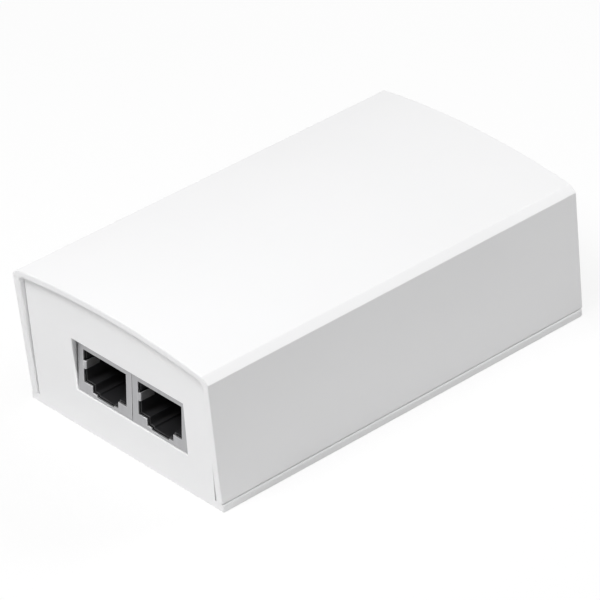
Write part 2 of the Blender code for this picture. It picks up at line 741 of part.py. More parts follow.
def finger_outline():
    """The spring finger from above: a lip from the opening's left edge, bent back along the plug's side."""
    edge = -OPENING_WIDTH / 2
    inner = edge + FINGER_REACH
    front = FINGER_SETBACK
    bend = fillet((edge, front), (inner, front), (inner, FINGER_LENGTH), FINGER_BEND)
    sheet_end = SHIELD_SHEET - FINGER_SETBACK
    return [(edge - SHIELD_SHEET, front)] + bend + [
        (inner, FINGER_LENGTH),
        (inner - FINGER_SHEET, FINGER_LENGTH),
        (inner - FINGER_SHEET, sheet_end),
        (edge - SHIELD_SHEET, sheet_end),
    ]


def make_jack_shield(prefix, x):
    middle = (x, JACK_FACE + JACK_DEPTH / 2, PART_BOTTOM + JACK_HEIGHT / 2)
    block = box_mesh(JACK_WIDTH, JACK_DEPTH, JACK_HEIGHT)
    shield = part(f"{prefix}_jack_shield", block, "jack_shield", middle)
    hollow_height = JACK_HEIGHT - SHIELD_SHEET + CUT_OVERSHOOT
    hollow = box_mesh(JACK_WIDTH - 2 * SHIELD_SHEET, JACK_DEPTH - 2 * SHIELD_SHEET, hollow_height)
    hollow_z = JACK_TOP - SHIELD_SHEET - hollow_height / 2
    opening = outline_mesh([plug_outline(0.0, OPENING_TOP)], 4 * SHIELD_SHEET, ALONG_Y)
    cuts = [
        tool("shield_hollow", hollow, (x, middle[1], hollow_z)),
        tool("shield_opening", opening, (x, JACK_FACE, 0)),
    ]
    combine(shield, "DIFFERENCE", cuts)
    finger = outline_mesh([finger_outline()], FINGER_HEIGHT, ALONG_Z)
    combine(shield, "UNION", [tool("shield_finger", finger, (x, JACK_FACE, OPENING_BOTTOM + FINGER_RISE))])


def make_jack_housing(prefix, x):
    width = JACK_WIDTH - 2 * (SHIELD_SHEET + SHEET_FIT)
    front = JACK_FACE + SHIELD_SHEET + SHEET_FIT
    rear = JACK_REAR - SHIELD_SHEET - SHEET_FIT
    height = HOUSING_TOP - PART_BOTTOM
    middle = (x, (front + rear) / 2, PART_BOTTOM + height / 2)
    housing = part(f"{prefix}_jack_housing", box_mesh(width, rear - front, height), "jack_black", middle)
    socket_rear = JACK_FACE + PLUG_DEPTH
    socket = outline_mesh([plug_outline(OPENING_LIP, BAY_TOP - HOUSING_ROOF)], 2 * PLUG_DEPTH, ALONG_Y)
    bay_front = CONTACT_PIVOT_Y - 4 * CONTACT_RADIUS - SEAT
    bay_height = HOUSING_ROOF + CUT_OVERSHOOT
    bay = box_mesh(2 * BAY_HALF, 2 * (rear - bay_front), bay_height)
    pocket = box_mesh(2 * BAY_HALF, 2 * (rear - socket_rear), 2 * (BAY_TOP - PART_BOTTOM))
    slot = box_mesh(FINGER_SHEET + 2 * SEAT, 2 * (FINGER_LENGTH + SEAT), FINGER_HEIGHT + 2 * SEAT)
    slot_x = x - OPENING_WIDTH / 2 + FINGER_REACH - FINGER_SHEET / 2
    cuts = [
        tool("plug_socket", socket, (x, socket_rear - PLUG_DEPTH, 0)),
        tool("contact_bay", bay, (x, rear, BAY_TOP - bay_height / 2)),
        tool("carrier_pocket", pocket, (x, rear, PART_BOTTOM)),
        tool("finger_slot", slot, (slot_x, JACK_FACE, OPENING_BOTTOM + FINGER_RISE)),
    ]
    combine(housing, "DIFFERENCE", cuts)


def make_jack_carrier(prefix, x):
    """The moulded insert: a block behind the socket, and a tongue over the contacts."""
    rear = JACK_REAR - SHIELD_SHEET - SHEET_FIT - SEAT
    block_front = JACK_FACE + PLUG_DEPTH + SEAT
    tongue_front = CONTACT_PIVOT_Y - 2 * CONTACT_RADIUS
    side_view = [
        (tongue_front, TONGUE_BOTTOM),
        (block_front, TONGUE_BOTTOM),
        (block_front, PART_BOTTOM),
        (rear, PART_BOTTOM),
        (rear, TONGUE_TOP),
        (tongue_front, TONGUE_TOP),
    ]
    mesh = outline_mesh([side_view], 2 * CARRIER_HALF, ALONG_X)
    part(f"{prefix}_jack_carrier", mesh, "jack_black", (x, 0, 0))


def make_contacts(prefix, x):
    """Eight wires that slope down from their pivot line, with flatter tips."""
    pivot = bpy.data.objects.new(f"{prefix}_contact_pivot", None)
    pivot.location = (x, CONTACT_PIVOT_Y, CONTACT_PIVOT_Z)
    PARTS.objects.link(pivot)
    end_y = CONTACT_LENGTH * math.cos(CONTACT_DROOP)
    end_z = -CONTACT_LENGTH * math.sin(CONTACT_DROOP)
    path = [(0, 0, 0), (0, end_y, end_z), (0, end_y + CONTACT_TIP, end_z)]
    for number in range(CONTACT_COUNT):
        offset = (number - (CONTACT_COUNT - 1) / 2) * CONTACT_PITCH
        wire = wire_mesh(path, CONTACT_RADIUS)
        contact = part(f"{prefix}_contact_{number + 1}", wire, "contact_gold", (offset, 0, 0))
        contact.parent = pivot


def make_jacks():
    for prefix, side in (("out", -1), ("in", 1)):
        x = JACK_OFFSET + side * JACK_PITCH / 2
        make_jack_shield(prefix, x)
        make_jack_housing(prefix, x)
        make_jack_carrier(prefix, x)
        make_contacts(prefix, x)


def cut_corner_outline(width, height, corner):
    """A rectangle about its middle with its two upper corners cut off."""
    left = [
        (-width / 2, -height / 2),
        (-width / 2, height / 2 - corner),
        (-width / 2 + corner, height / 2),
    ]
    return left + mirrored(left)


def inlet_outline(margin):
    return cut_corner_outline(INLET_WIDTH + 2 * margin, INLET_HEIGHT + 2 * margin, INLET_CORNER)


def make_inlet():
    block = outline_mesh([inlet_outline(0.0)], INLET_DEPTH, ALONG_Y)
    body = part("inlet_body", block, "inlet_black", (0, INLET_FACE - INLET_DEPTH / 2, INLET_MIDDLE))
    recess_outline = cut_corner_outline(RECESS_WIDTH, RECESS_HEIGHT, RECESS_CORNER)
    recess = outline_mesh([recess_outline], 2 * RECESS_DEPTH, ALONG_Y)
    cuts = [tool("inlet_recess", recess, (0, INLET_FACE, INLET_MIDDLE))]
    pin_front = INLET_FACE - PIN_SHORTFALL
    pin_rear = INLET_FACE - INLET_DEPTH - PIN_TAB
    pin_y = (pin_front + pin_rear) / 2
    pins = (("line", PIN_SPREAD, 0.0), ("neutral", -PIN_SPREAD, 0.0), ("earth", 0.0, EARTH_RISE))
    for name, x, rise in pins:
        place = (x, pin_y, PIN_MIDDLE + rise)
        blade = box_mesh(PIN_WIDTH, pin_front - pin_rear, PIN_HEIGHT)
        part(f"inlet_{name}_pin", blade, "plated_pin", place)
        slot = box_mesh(PIN_WIDTH + 2 * SHEET_FIT, pin_front - pin_rear, PIN_HEIGHT + 2 * SHEET_FIT)
        cuts.append(tool("pin_slot", slot, place))
    combine(body, "DIFFERENCE", cuts)


def make_can(name, x, y, radius, height):
    """A capacitor can with a rolled groove near its foot and a rounded top."""
    groove = radius - CAN_GROOVE
    profile = [
        (0.0, height),
        (radius - CAN_ROUND, height),
        (radius, height - CAN_ROUND),
        (radius, CAN_GROOVE_HEIGHT + CAN_GROOVE),
        (groove, CAN_GROOVE_HEIGHT),
        (radius, CAN_GROOVE_HEIGHT - CAN_GROOVE),
        (radius, 0.0),
        (0.0, 0.0),
    ]
    turned(name, profile, "can_sleeve", (x, y, PART_BOTTOM))


def make_disc(name, x, y, finish):
    """A dipped disc standing on its edge, facing along the case."""
    flat = DISC_RADIUS - DISC_ROUND
    half = DISC_THICKNESS / 2
    profile = [
        (0.0, half),
        (flat, half),
        (DISC_RADIUS, half - DISC_ROUND),
        (DISC_RADIUS, DISC_ROUND - half),
        (flat, -half),
        (0.0, -half),
    ]
    disc = turned(name, profile, finish, (x, y, PART_BOTTOM + DISC_RADIUS))
    disc.rotation_euler = (math.pi / 2, 0, 0)


def make_lan_magnetics(x, y):
    """A wide flat module with a row of pins along its two long sides."""
    middle = (x, y, PART_BOTTOM + LAN_HEIGHT / 2)
    block = box_mesh(LAN_WIDTH, LAN_DEPTH - 2 * LAN_PIN_REACH, LAN_HEIGHT)
    body = part("lan_magnetics", block, "component_black", middle)
    pins = []
    pin_z = PART_BOTTOM + LAN_PIN_WIDTH / 2 + LAN_PIN_HEIGHT / 2
    for side in (-1, 1):
        for number in range(LAN_PINS):
            pin_x = x + (number - (LAN_PINS - 1) / 2) * LAN_PIN_PITCH
            pin_y = y + side * (LAN_DEPTH / 2 - LAN_PIN_REACH)
            pin = box_mesh(LAN_PIN_WIDTH, 2 * LAN_PIN_REACH, LAN_PIN_HEIGHT)
            pins.append(tool("lan_pin", pin, (pin_x, pin_y, pin_z)))
    combine(body, "UNION", pins)


def make_output_choke(x, y):
    """A drum core with a wound waist."""
    profile = [
        (0.0, OUTPUT_CHOKE_HEIGHT),
        (OUTPUT_CHOKE_RADIUS, OUTPUT_CHOKE_HEIGHT),
        (OUTPUT_CHOKE_RADIUS, OUTPUT_CHOKE_HEIGHT - OUTPUT_CHOKE_FLANGE),
        (OUTPUT_CHOKE_WAIST, OUTPUT_CHOKE_HEIGHT - OUTPUT_CHOKE_FLANGE),
        (OUTPUT_CHOKE_WAIST, OUTPUT_CHOKE_FLANGE),
        (OUTPUT_CHOKE_RADIUS, OUTPUT_CHOKE_FLANGE),
        (OUTPUT_CHOKE_RADIUS, 0.0),
        (0.0, 0.0),
    ]
    turned("output_choke", profile, "ferrite_grey", (x, y, PART_BOTTOM))


def make_output_diode(x, y):
    """An axial diode lying across the board on its bent leads."""
    axis_z = DIODE_LIFT + DIODE_RADIUS
    half = DIODE_LENGTH / 2
    profile = [(0.0, half), (DIODE_RADIUS, half), (DIODE_RADIUS, -half), (0.0, -half)]
    diode = turned("output_diode", profile, "component_black", (x, y, PART_BOTTOM + axis_z))
    diode.rotation_euler = (0, math.pi / 2, 0)
    reach = DIODE_SPAN / 2 - DIODE_LEAD_RADIUS
    route = [(-reach, 0, -axis_z), (-reach, 0, 0), (reach, 0, 0), (reach, 0, -axis_z)]
    lead = wire_mesh(route, DIODE_LEAD_RADIUS)
    combine(diode, "UNION", [tool("diode_lead", lead, (x, y, PART_BOTTOM + axis_z))])


def make_transformer(x, y):
    """A closed ferrite core lying flat, with the wound bobbin round its middle leg."""
    middle_z = PART_BOTTOM + WINDING_HEIGHT / 2
    window_x = (CORE_CENTRE_LEG + CORE_WINDOW_WIDTH) / 2
    windows = [rectangle(CORE_WINDOW_WIDTH, CORE_WINDOW_LENGTH, (side * window_x, 0)) for side in (-1, 1)]
    core = outline_mesh([rectangle(CORE_WIDTH, CORE_LENGTH)] + windows, CORE_THICKNESS, ALONG_Z)
    part("transformer_core", core, "ferrite_grey", (x, y, middle_z))
    outer = rectangle(CORE_CENTRE_LEG + 2 * (CORE_WINDOW_WIDTH - WINDING_FIT), WINDING_HEIGHT)
    bore = rectangle(CORE_CENTRE_LEG + 2 * WINDING_FIT, CORE_THICKNESS + 2 * WINDING_FIT)
    winding = outline_mesh([outer, bore], CORE_WINDOW_LENGTH - 2 * WINDING_FIT, ALONG_Y)
    part("transformer_winding", winding, "winding_tape", (x, y, middle_z))


def make_switcher(y):
    """A tabbed power transistor against the back of its channel-shaped heatsink."""
    fin_left = PART_RIGHT - HEATSINK_REACH
    plate_left = PART_RIGHT - HEATSINK_WALL
    half = HEATSINK_LENGTH / 2
    inner = half - HEATSINK_WALL
    channel = [
        (PART_RIGHT, y - half),
        (PART_RIGHT, y + half),
        (fin_left, y + half),
        (fin_left, y + inner),
        (plate_left, y + inner),
        (plate_left, y - inner),
        (fin_left, y - inner),
        (fin_left, y - half),
    ]
    mesh = outline_mesh([channel], HEATSINK_HEIGHT, ALONG_Z)
    part("switcher_heatsink", mesh, "heatsink_metal", (0, 0, PART_BOTTOM + HEATSINK_HEIGHT / 2))
    tab_x = plate_left - SEAT - SWITCHER_TAB / 2
    tab_bottom = PART_BOTTOM + SWITCHER_LEG_LENGTH
    plate = rectangle(SWITCHER_WIDTH, SWITCHER_HEIGHT)
    hole_z = (SWITCHER_BODY_HEIGHT + SWITCHER_HEIGHT) / 2 - SWITCHER_HEIGHT / 2
    tab = outline_mesh([plate, circle(SWITCHER_HOLE, (0, hole_z))], SWITCHER_TAB, ALONG_X)
    switcher = part("switcher", tab, "component_black", (tab_x, y, tab_bottom + SWITCHER_HEIGHT / 2))
    body_depth = SWITCHER_BODY + SWITCHER_TAB / 2
    body_x = tab_x - body_depth / 2
    inset = SWITCHER_TAB / 4
    body = box_mesh(body_depth, SWITCHER_WIDTH - 2 * inset, SWITCHER_BODY_HEIGHT - inset)
    body_bottom = tab_bottom + inset
    adds = [tool("switcher_body", body, (body_x, y, body_bottom + (SWITCHER_BODY_HEIGHT - inset) / 2))]
    leg_height = SWITCHER_LEG_LENGTH + 2 * inset
    for number in (-1, 0, 1):
        leg = box_mesh(SWITCHER_LEG, SWITCHER_LEG, leg_height)
        leg_y = y + number * SWITCHER_LEG_PITCH
        adds.append(tool("switcher_leg", leg, (body_x, leg_y, PART_BOTTOM + leg_height / 2)))
    combine(switcher, "UNION", adds)


def make_bridge(x, y):
    corner = BRIDGE_CORNER
    outline = rectangle(BRIDGE_WIDTH, BRIDGE_HEIGHT)
    right, top = outline[2]
    outline[2:3] = [(right, top - corner), (right - corner, top)]
    mesh = outline_mesh([outline], BRIDGE_DEPTH, ALONG_Y)
    part("bridge_rectifier", mesh, "component_black", (x, y, PART_BOTTOM + BRIDGE_HEIGHT / 2))


def make_block(name, x, y, size, finish):
    """A moulded block with softened edges."""
    block = part(name, box_mesh(*size), finish, (x, y, PART_BOTTOM + size[2] / 2))
    soft = block.modifiers.new("Soften", "BEVEL")
    soft.width = FILM_BEVEL
    soft.segments = 2


def make_filter_choke(x, y):
    """A rectangular ferrite ring with one winding on each of its two limbs."""
    winding_height = CHOKE_THICKNESS + 2 * (WINDING_FIT + CHOKE_WINDING)
    middle_z = PART_BOTTOM + winding_height / 2
    window = rectangle(CHOKE_WIDTH - 2 * CHOKE_LIMB, CHOKE_LENGTH - 2 * CHOKE_YOKE)
    core = outline_mesh([rectangle(CHOKE_WIDTH, CHOKE_LENGTH), window], CHOKE_THICKNESS, ALONG_Z)
    part("filter_choke_core", core, "ferrite_grey", (x, y, middle_z))
    bore = rectangle(CHOKE_LIMB + 2 * WINDING_FIT, CHOKE_THICKNESS + 2 * WINDING_FIT)
    outer = rectangle(CHOKE_LIMB + 2 * (WINDING_FIT + CHOKE_WINDING), winding_height)
    length = CHOKE_LENGTH - 2 * CHOKE_YOKE - 2 * WINDING_FIT
    limb_x = (CHOKE_WIDTH - CHOKE_LIMB) / 2
    for name, side in (("line", -1), ("neutral", 1)):
        winding = outline_mesh([outer, bore], length, ALONG_Y)
        part(f"filter_choke_{name}_winding", winding, "winding_copper", (x + side * limb_x, y, middle_z))


def make_fuse(x, y):
    profile = [
        (0.0, FUSE_HEIGHT),
        (FUSE_RADIUS - FUSE_ROUND, FUSE_HEIGHT),
        (FUSE_RADIUS, FUSE_HEIGHT - FUSE_ROUND),
        (FUSE_RADIUS, 0.0),
        (0.0, 0.0),
    ]
    turned("fuse", profile, "fuse_brown", (x, y, PART_BOTTOM))


def make_left_column():
    """The tall parts along the board's left edge, from the jacks to the inlet."""
    can_x = PART_LEFT + OUTPUT_CAN_RADIUS
    y = JACK_REAR + PART_GAP + OUTPUT_CAN_RADIUS
    make_can("output_capacitor_1", can_x, y, OUTPUT_CAN_RADIUS, OUTPUT_CAN_HEIGHT)
    y += 2 * OUTPUT_CAN_RADIUS + PART_GAP
    make_can("output_capacitor_2", can_x, y, OUTPUT_CAN_RADIUS, OUTPUT_CAN_HEIGHT)
    y += OUTPUT_CAN_RADIUS + PART_GAP + BULK_CAN_RADIUS
    make_can("bulk_capacitor", PART_LEFT + BULK_CAN_RADIUS, y, BULK_CAN_RADIUS, BULK_CAN_HEIGHT)
    y += BULK_CAN_RADIUS + PART_GAP + BRIDGE_DEPTH / 2
    make_bridge(PART_LEFT + BRIDGE_WIDTH / 2, y)
    y += BRIDGE_DEPTH / 2 + PART_GAP + FILM_DEPTH / 2
    film_size = (FILM_WIDTH, FILM_DEPTH, FILM_HEIGHT)
    make_block("x_capacitor", PART_LEFT + FILM_WIDTH / 2, y, film_size, "film_yellow")
    y += FILM_DEPTH / 2 + PART_GAP + DISC_THICKNESS / 2
    make_disc("varistor", PART_LEFT + DISC_RADIUS, y, "disc_blue")


def make_middle_column():
    """The jack magnetics, the transformer and the mains filter."""
    make_lan_magnetics(JACK_OFFSET, LAN_REAR - LAN_DEPTH / 2)
    opto_x = PART_LEFT + 2 * OUTPUT_CAN_RADIUS + PART_GAP + OPTO_WIDTH / 2
    opto_size = (OPTO_WIDTH, OPTO_LENGTH, OPTO_HEIGHT)
    make_block("optocoupler", opto_x, DIODE_ROW + OPTO_LENGTH / 2, opto_size, "component_black")
    diode_x = opto_x + OPTO_WIDTH / 2 + PART_GAP + DIODE_SPAN / 2
    make_output_diode(diode_x, DIODE_ROW + DIODE_RADIUS)
    make_transformer((CORE_LEFT + CORE_RIGHT) / 2, (CORE_FRONT + CORE_REAR) / 2)
    make_filter_choke((CHOKE_LEFT + CHOKE_RIGHT) / 2, CHOKE_REAR - CHOKE_LENGTH / 2)


def make_right_column():
    """The output choke, the isolating capacitor, the switcher and the fuse along the right edge."""
    y = JACK_REAR + PART_GAP + OUTPUT_CHOKE_RADIUS
    make_output_choke(PART_RIGHT - OUTPUT_CHOKE_RADIUS, y)
    y += OUTPUT_CHOKE_RADIUS + PART_GAP + DISC_THICKNESS / 2
    make_disc("y_capacitor", PART_RIGHT - DISC_RADIUS, y, "disc_blue")
    y += DISC_THICKNESS / 2 + PART_GAP + HEATSINK_LENGTH / 2
    make_switcher(y)
    fuse_front = max(CORE_REAR, y + HEATSINK_LENGTH / 2) + PART_GAP
    make_fuse(PART_RIGHT - FUSE_RADIUS, fuse_front + FUSE_RADIUS)


def main():
    make_top_shell()
    make_base_tray()
    make_screws()
    make_board()
    make_jacks()
    make_inlet()
    make_left_column()
    make_middle_column()
    make_right_column()


main()
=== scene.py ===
import json
import math

import bmesh
import bpy
from bpy.props import FloatProperty, FloatVectorProperty, IntProperty, PointerProperty
from mathutils import Matrix, Vector
from mathutils.bvhtree import BVHTree

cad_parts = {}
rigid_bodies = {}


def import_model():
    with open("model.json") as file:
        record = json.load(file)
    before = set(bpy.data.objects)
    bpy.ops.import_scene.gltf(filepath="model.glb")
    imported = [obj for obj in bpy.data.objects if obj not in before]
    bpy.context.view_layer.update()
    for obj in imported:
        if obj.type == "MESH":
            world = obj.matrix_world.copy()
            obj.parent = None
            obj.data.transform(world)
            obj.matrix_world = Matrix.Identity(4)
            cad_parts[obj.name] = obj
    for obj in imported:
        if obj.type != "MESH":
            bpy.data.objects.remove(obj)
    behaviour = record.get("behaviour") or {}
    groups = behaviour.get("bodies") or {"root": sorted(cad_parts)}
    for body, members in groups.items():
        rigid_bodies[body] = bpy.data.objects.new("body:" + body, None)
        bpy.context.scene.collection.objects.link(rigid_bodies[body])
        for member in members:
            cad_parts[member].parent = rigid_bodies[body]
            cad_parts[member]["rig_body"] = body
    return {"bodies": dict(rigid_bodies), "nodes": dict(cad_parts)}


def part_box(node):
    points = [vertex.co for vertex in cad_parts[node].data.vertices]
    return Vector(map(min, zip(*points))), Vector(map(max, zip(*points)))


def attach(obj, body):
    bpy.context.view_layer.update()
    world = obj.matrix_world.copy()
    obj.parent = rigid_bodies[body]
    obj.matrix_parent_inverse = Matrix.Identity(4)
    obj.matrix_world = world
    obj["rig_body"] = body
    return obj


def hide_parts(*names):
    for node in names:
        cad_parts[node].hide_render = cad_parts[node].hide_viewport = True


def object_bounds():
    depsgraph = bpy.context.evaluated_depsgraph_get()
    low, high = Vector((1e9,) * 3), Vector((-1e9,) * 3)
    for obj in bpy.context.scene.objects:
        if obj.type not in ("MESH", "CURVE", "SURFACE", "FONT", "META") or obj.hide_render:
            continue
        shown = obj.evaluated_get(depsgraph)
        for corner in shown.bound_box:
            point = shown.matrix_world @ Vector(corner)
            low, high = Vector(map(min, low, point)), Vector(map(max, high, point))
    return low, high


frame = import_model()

bl_info = {
    "name": "PoE injector dressing",
    "version": (1, 0, 0),
    "blender": (4, 5, 0),
    "location": "3D View > Sidebar > PoE injector",
    "description": "Softens the mouldings and sheet metal of a PoE injector and gives every piece its finish",
    "category": "Object",
}

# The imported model, with nothing else left in the scene
NODES = frame["nodes"]
KEPT = [*frame["bodies"].values(), *NODES.values()]
for leftover in [obj for obj in bpy.data.objects if obj not in KEPT]:
    bpy.data.objects.remove(leftover, do_unlink=True)
CAD_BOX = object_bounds()
JACKS = ("out", "in")
CONTACTS_PER_JACK = 8
INLET_PINS = ("line", "neutral", "earth")

# Cleaning of a copied solid: points that are one, faces that are one flat, edges that are crisp
WELD = 1e-5
FLAT_ANGLE = math.radians(0.2)
CRISP_ANGLE = math.radians(33.5)

# Rounding of edges: facets across the edge of a small or a larger piece, and the shape of the round
FINE_STEPS = 2
BROAD_STEPS = 3
CIRCULAR = 0.5

# Finding faces and edges: how much of a direction lies along an axis, and metres from a box or a surface
SQUARE_ON = 0.9
HALF_ON = 0.5
TURNED = 0.2
LIFT = 2 * WELD
NEAR = 0.0005
CLEAR = 0.002
WELL_CLEAR = 0.004

# Finish of each inner piece, by the start of its name
BOARD_FINISHES = {
    "main_board": "board_green",
    "bulk_capacitor": "can_sleeve",
    "output_capacitor": "can_sleeve",
    "lan_magnetics": "component_black",
    "optocoupler": "component_black",
    "output_diode": "component_black",
    "switcher_heatsink": "heatsink_metal",
    "switcher": "component_black",
    "bridge_rectifier": "component_black",
    "transformer_core": "ferrite_grey",
    "transformer_winding": "winding_tape",
    "filter_choke_core": "ferrite_grey",
    "filter_choke_line_winding": "winding_copper",
    "filter_choke_neutral_winding": "winding_copper",
    "output_choke": "ferrite_grey",
    "x_capacitor": "film_yellow",
    "varistor": "disc_blue",
    "y_capacitor": "disc_blue",
    "fuse": "fuse_brown",
}

# Sockets of the node that mixes two colours
MIX_AMOUNT = 0
MIX_FIRST = 6
MIX_SECOND = 7
MIX_RESULT = 2

# What all finishes share
DUST_COLOUR = (0.62, 0.61, 0.59)
SHEEN_SPREAD = 0.15
RELIEF_STRENGTH = 0.6

# Studio: place, width and aim of each lamp, then the floor and the camera's film
LAMPS = {
    "key": ((0.10, -0.25, 0.60), 0.20, (0.0, 0.0, 0.0)),
    "front": ((-0.05, -0.40, 0.56), 0.22, (0.0, 0.0, 0.0)),
    "back": ((0.18, 0.60, 0.53), 0.45, (0.0, 0.0, 0.0)),
    "fill": ((0.30, 0.45, 0.10), 0.20, (0.0, 0.03, 0.015)),
}
FLOOR_HALF = 3.0
FLOOR_DROP = 0.0001
FLOOR_ROUGHNESS = 0.9
FLOOR_SPECULAR = 0.1
FILM_WIDTH = 36.0
WHITE = (1.0, 1.0, 1.0, 1.0)


def colour(name, description, default):
    """A colour that a user can change."""
    return FloatVectorProperty(
        name=name, description=description, default=default, subtype="COLOR", size=3, min=0.0, max=1.0
    )


def length(name, description, default):
    """A length that a user can change."""
    return FloatProperty(
        name=name, description=description, default=default, unit="LENGTH", precision=6, min=0.0
    )


def share(name, description, default):
    """A share from none to all."""
    return FloatProperty(
        name=name, description=description, default=default, subtype="FACTOR", min=0.0, max=1.0
    )


def angle(name, description, default):
    """An angle that is given in degrees and kept in radians."""
    return FloatProperty(name=name, description=description, default=math.radians(default), subtype="ANGLE")


def power(name, description, default):
    """The power of a lamp in watts."""
    return FloatProperty(name=name, description=description, default=default, unit="POWER", min=0.0)


class CaseSettings(bpy.types.PropertyGroup):
    """Looks and edges of the two white mouldings"""

    tint: colour("Plastic", "Colour of the white mouldings", (0.86, 0.86, 0.865))
    shade: colour("Plastic shade", "The slightly duller white of the uneven patches", (0.835, 0.835, 0.84))
    roughness: share("Roughness", "How matt the satin plastic is", 0.42)
    grain_size: length("Grain size", "Width of one pit of the moulded grain", 0.00022)
    grain_depth: length("Grain depth", "Depth of the moulded grain", 0.000006)
    softness: length("Edge softness", "Radius of the moulded edges", 0.00012)
    foot_softness: length("Foot softness", "Radius of the shell's edges at the seam above the tray", 0.00003)
    rim_softness: length("Rim softness", "Radius of the rims' inner edges round the end panels", 0.00045)
    panel_softness: length("Panel softness", "Radius of the jack-end panel's edges beside the rim", 0.0003)
    panel_closing: length("Panel closing", "How far the panel's edges come out towards the rim", 0.0003)
    panel_lean: angle("Panel lean", "How much further the jack-end panel leans out than its solid", 0.7)
    window_softness: length("Window softness", "Radius of the jack window's edges", 0.00022)
    corner_softness: length("Corner softness", "Radius of the tray's two corners at the inlet end", 0.0009)
    edge_reach: length("Tray reach", "How far the tray's long edges come out below the seam", 0.0002)
    seam_closing: length("Seam closing", "How far the shell comes down over the seam above the tray", 0.00029)
    steps: IntProperty(
        name="Edge steps",
        description="Facets across each rounded edge",
        default=3,
        subtype="UNSIGNED",
        min=1,
        max=6,
    )


class JackSettings(bpy.types.PropertyGroup):
    """Looks and edges of the shields, sockets and contact wires"""

    metal: colour("Shield", "Colour of the tin-plated sheet", (0.49, 0.49, 0.50))
    metal_shade: colour("Shield shade", "Darker streaks of the rolled sheet", (0.415, 0.415, 0.425))
    metal_roughness: share("Shield roughness", "How dull the plated sheet is", 0.52)
    plastic: colour("Socket", "Colour of the black plug sockets", (0.011, 0.011, 0.012))
    plastic_shade: colour("Socket shade", "The duller black of the socket's walls", (0.017, 0.017, 0.019))
    gold: colour("Contacts", "Colour of the gold-plated wires", (0.80, 0.58, 0.22))
    softness: length("Sheet edge", "Radius of the sheet's cut edges", 0.00006)
    socket_softness: length("Socket edge", "Radius of the socket's moulded edges", 0.00010)
    wire_softness: length("Wire edge", "Radius that rounds the contact wires", 0.00008)
    sill_closing: length("Sill closing", "How far the shields come down over the window's sill", 0.0002)
    side_closing: length("Side closing", "How far the shields' sides come out over their gaps", 0.00007)


class InletSettings(bpy.types.PropertyGroup):
    """Looks and edges of the mains inlet and its pins"""

    plastic: colour("Inlet", "Colour of the black inlet", (0.020, 0.020, 0.022))
    plastic_shade: colour("Inlet shade", "The duller black of its grain", (0.032, 0.032, 0.034))
    metal: colour("Pins", "Colour of the plated pins", (0.66, 0.65, 0.62))
    softness: length("Inlet edge", "Radius of the inlet's moulded edges", 0.00025)
    pin_softness: length("Pin edge", "Radius of the pins' edges", 0.00030)


class ScrewSettings(bpy.types.PropertyGroup):
    """Looks and edges of the case and board screws"""

    metal: colour("Screws", "Colour of the zinc-plated screws", (0.46, 0.46, 0.47))
    softness: length("Screw edge", "Radius of the screws' edges", 0.00008)


class StageSettings(bpy.types.PropertyGroup):
    """Floor, light and camera"""

    azimuth: angle("Camera azimuth", "Turn of the camera from the jack end towards the right side", 45.938)
    elevation: angle("Camera elevation", "Height of the camera above the horizon", 32.442)
    aim: FloatVectorProperty(
        name="Camera aim",
        description="Point in the middle of the picture",
        default=(0.012016, -0.012909, 0.025479),
        unit="LENGTH",
        precision=6,
        size=3,
    )
    distance: length("Camera distance", "From the camera to its aim", 0.8818)
    lens: FloatProperty(
        name="Lens", description="Focal length on a 36 mm sensor", default=270.0, unit="CAMERA"
    )
    floor: colour("Floor", "Colour of the pale floor", (0.93, 0.93, 0.93))
    floor_glow: share("Floor glow", "How far the floor fades to plain white in the picture", 0.84)
    ambient: share("Ambient", "Strength of the even light all round", 0.05)
    key: power("Key lamp", "Power of the lamp above the case", 1.28)
    front: power("Front lamp", "Power of the lamp above the jack end", 2.62)
    back: power("Back lamp", "Power of the large lamp beyond the inlet end", 3.12)
    fill: power("Fill lamp", "Power of the weak lamp by the right side", 0.11)


class InjectorSettings(bpy.types.PropertyGroup):
    """All settings of the PoE injector"""

    case: PointerProperty(type=CaseSettings, name="Case", description="White mouldings")
    jacks: PointerProperty(type=JackSettings, name="Jacks", description="Shielded network jacks")
    inlet: PointerProperty(type=InletSettings, name="Inlet", description="Mains inlet")
    screws: PointerProperty(type=ScrewSettings, name="Screws", description="Case and board screws")
    stage: PointerProperty(type=StageSettings, name="Stage", description="Floor, lamps and camera")


def settings():
    """The settings of the scene."""
    return bpy.context.scene.poe_injector


def add(tree, kind, inputs=None, **choices):
    """A node with its choices made and its inputs set or linked."""
    made = tree.nodes.new(kind)
    for name, value in choices.items():
        setattr(made, name, value)
    for name, value in (inputs or {}).items():
        if isinstance(value, bpy.types.NodeSocket):
            tree.links.new(value, made.inputs[name])
        else:
            made.inputs[name].default_value = value
    return made


def math_node(tree, operation, first, second):
    """The result of one operation on two values."""
    return add(tree, "ShaderNodeMath", {0: first, 1: second}, operation=operation).outputs[0]


def mix_colours(tree, amount, first, second):
    """The first colour where the amount is none, and the second where it is one."""
    inputs = {MIX_AMOUNT: amount, MIX_FIRST: first, MIX_SECOND: second}
    return add(tree, "ShaderNodeMix", inputs, data_type="RGBA").outputs[MIX_RESULT]


def noise_of_size(tree, place, size, detail):
    """Noise whose patches are about as wide as the size."""
    scale = math_node(tree, "DIVIDE", 1.0, size)
    inputs = {"Vector": place, "Scale": scale, "Detail": detail}
    return add(tree, "ShaderNodeTexNoise", inputs).outputs["Fac"]


def new_effect(name, inputs, outputs):
    """An empty shader group with its sockets."""
    tree = bpy.data.node_groups.new(name, "ShaderNodeTree")
    for label, default in inputs.items():
        socket = tree.interface.new_socket(label, in_out="INPUT", socket_type="NodeSocketFloat")
        socket.default_value = default
    for label in outputs:
        tree.interface.new_socket(label, in_out="OUTPUT", socket_type="NodeSocketFloat")
    return tree, tree.nodes.new("NodeGroupInput").outputs, tree.nodes.new("NodeGroupOutput").inputs


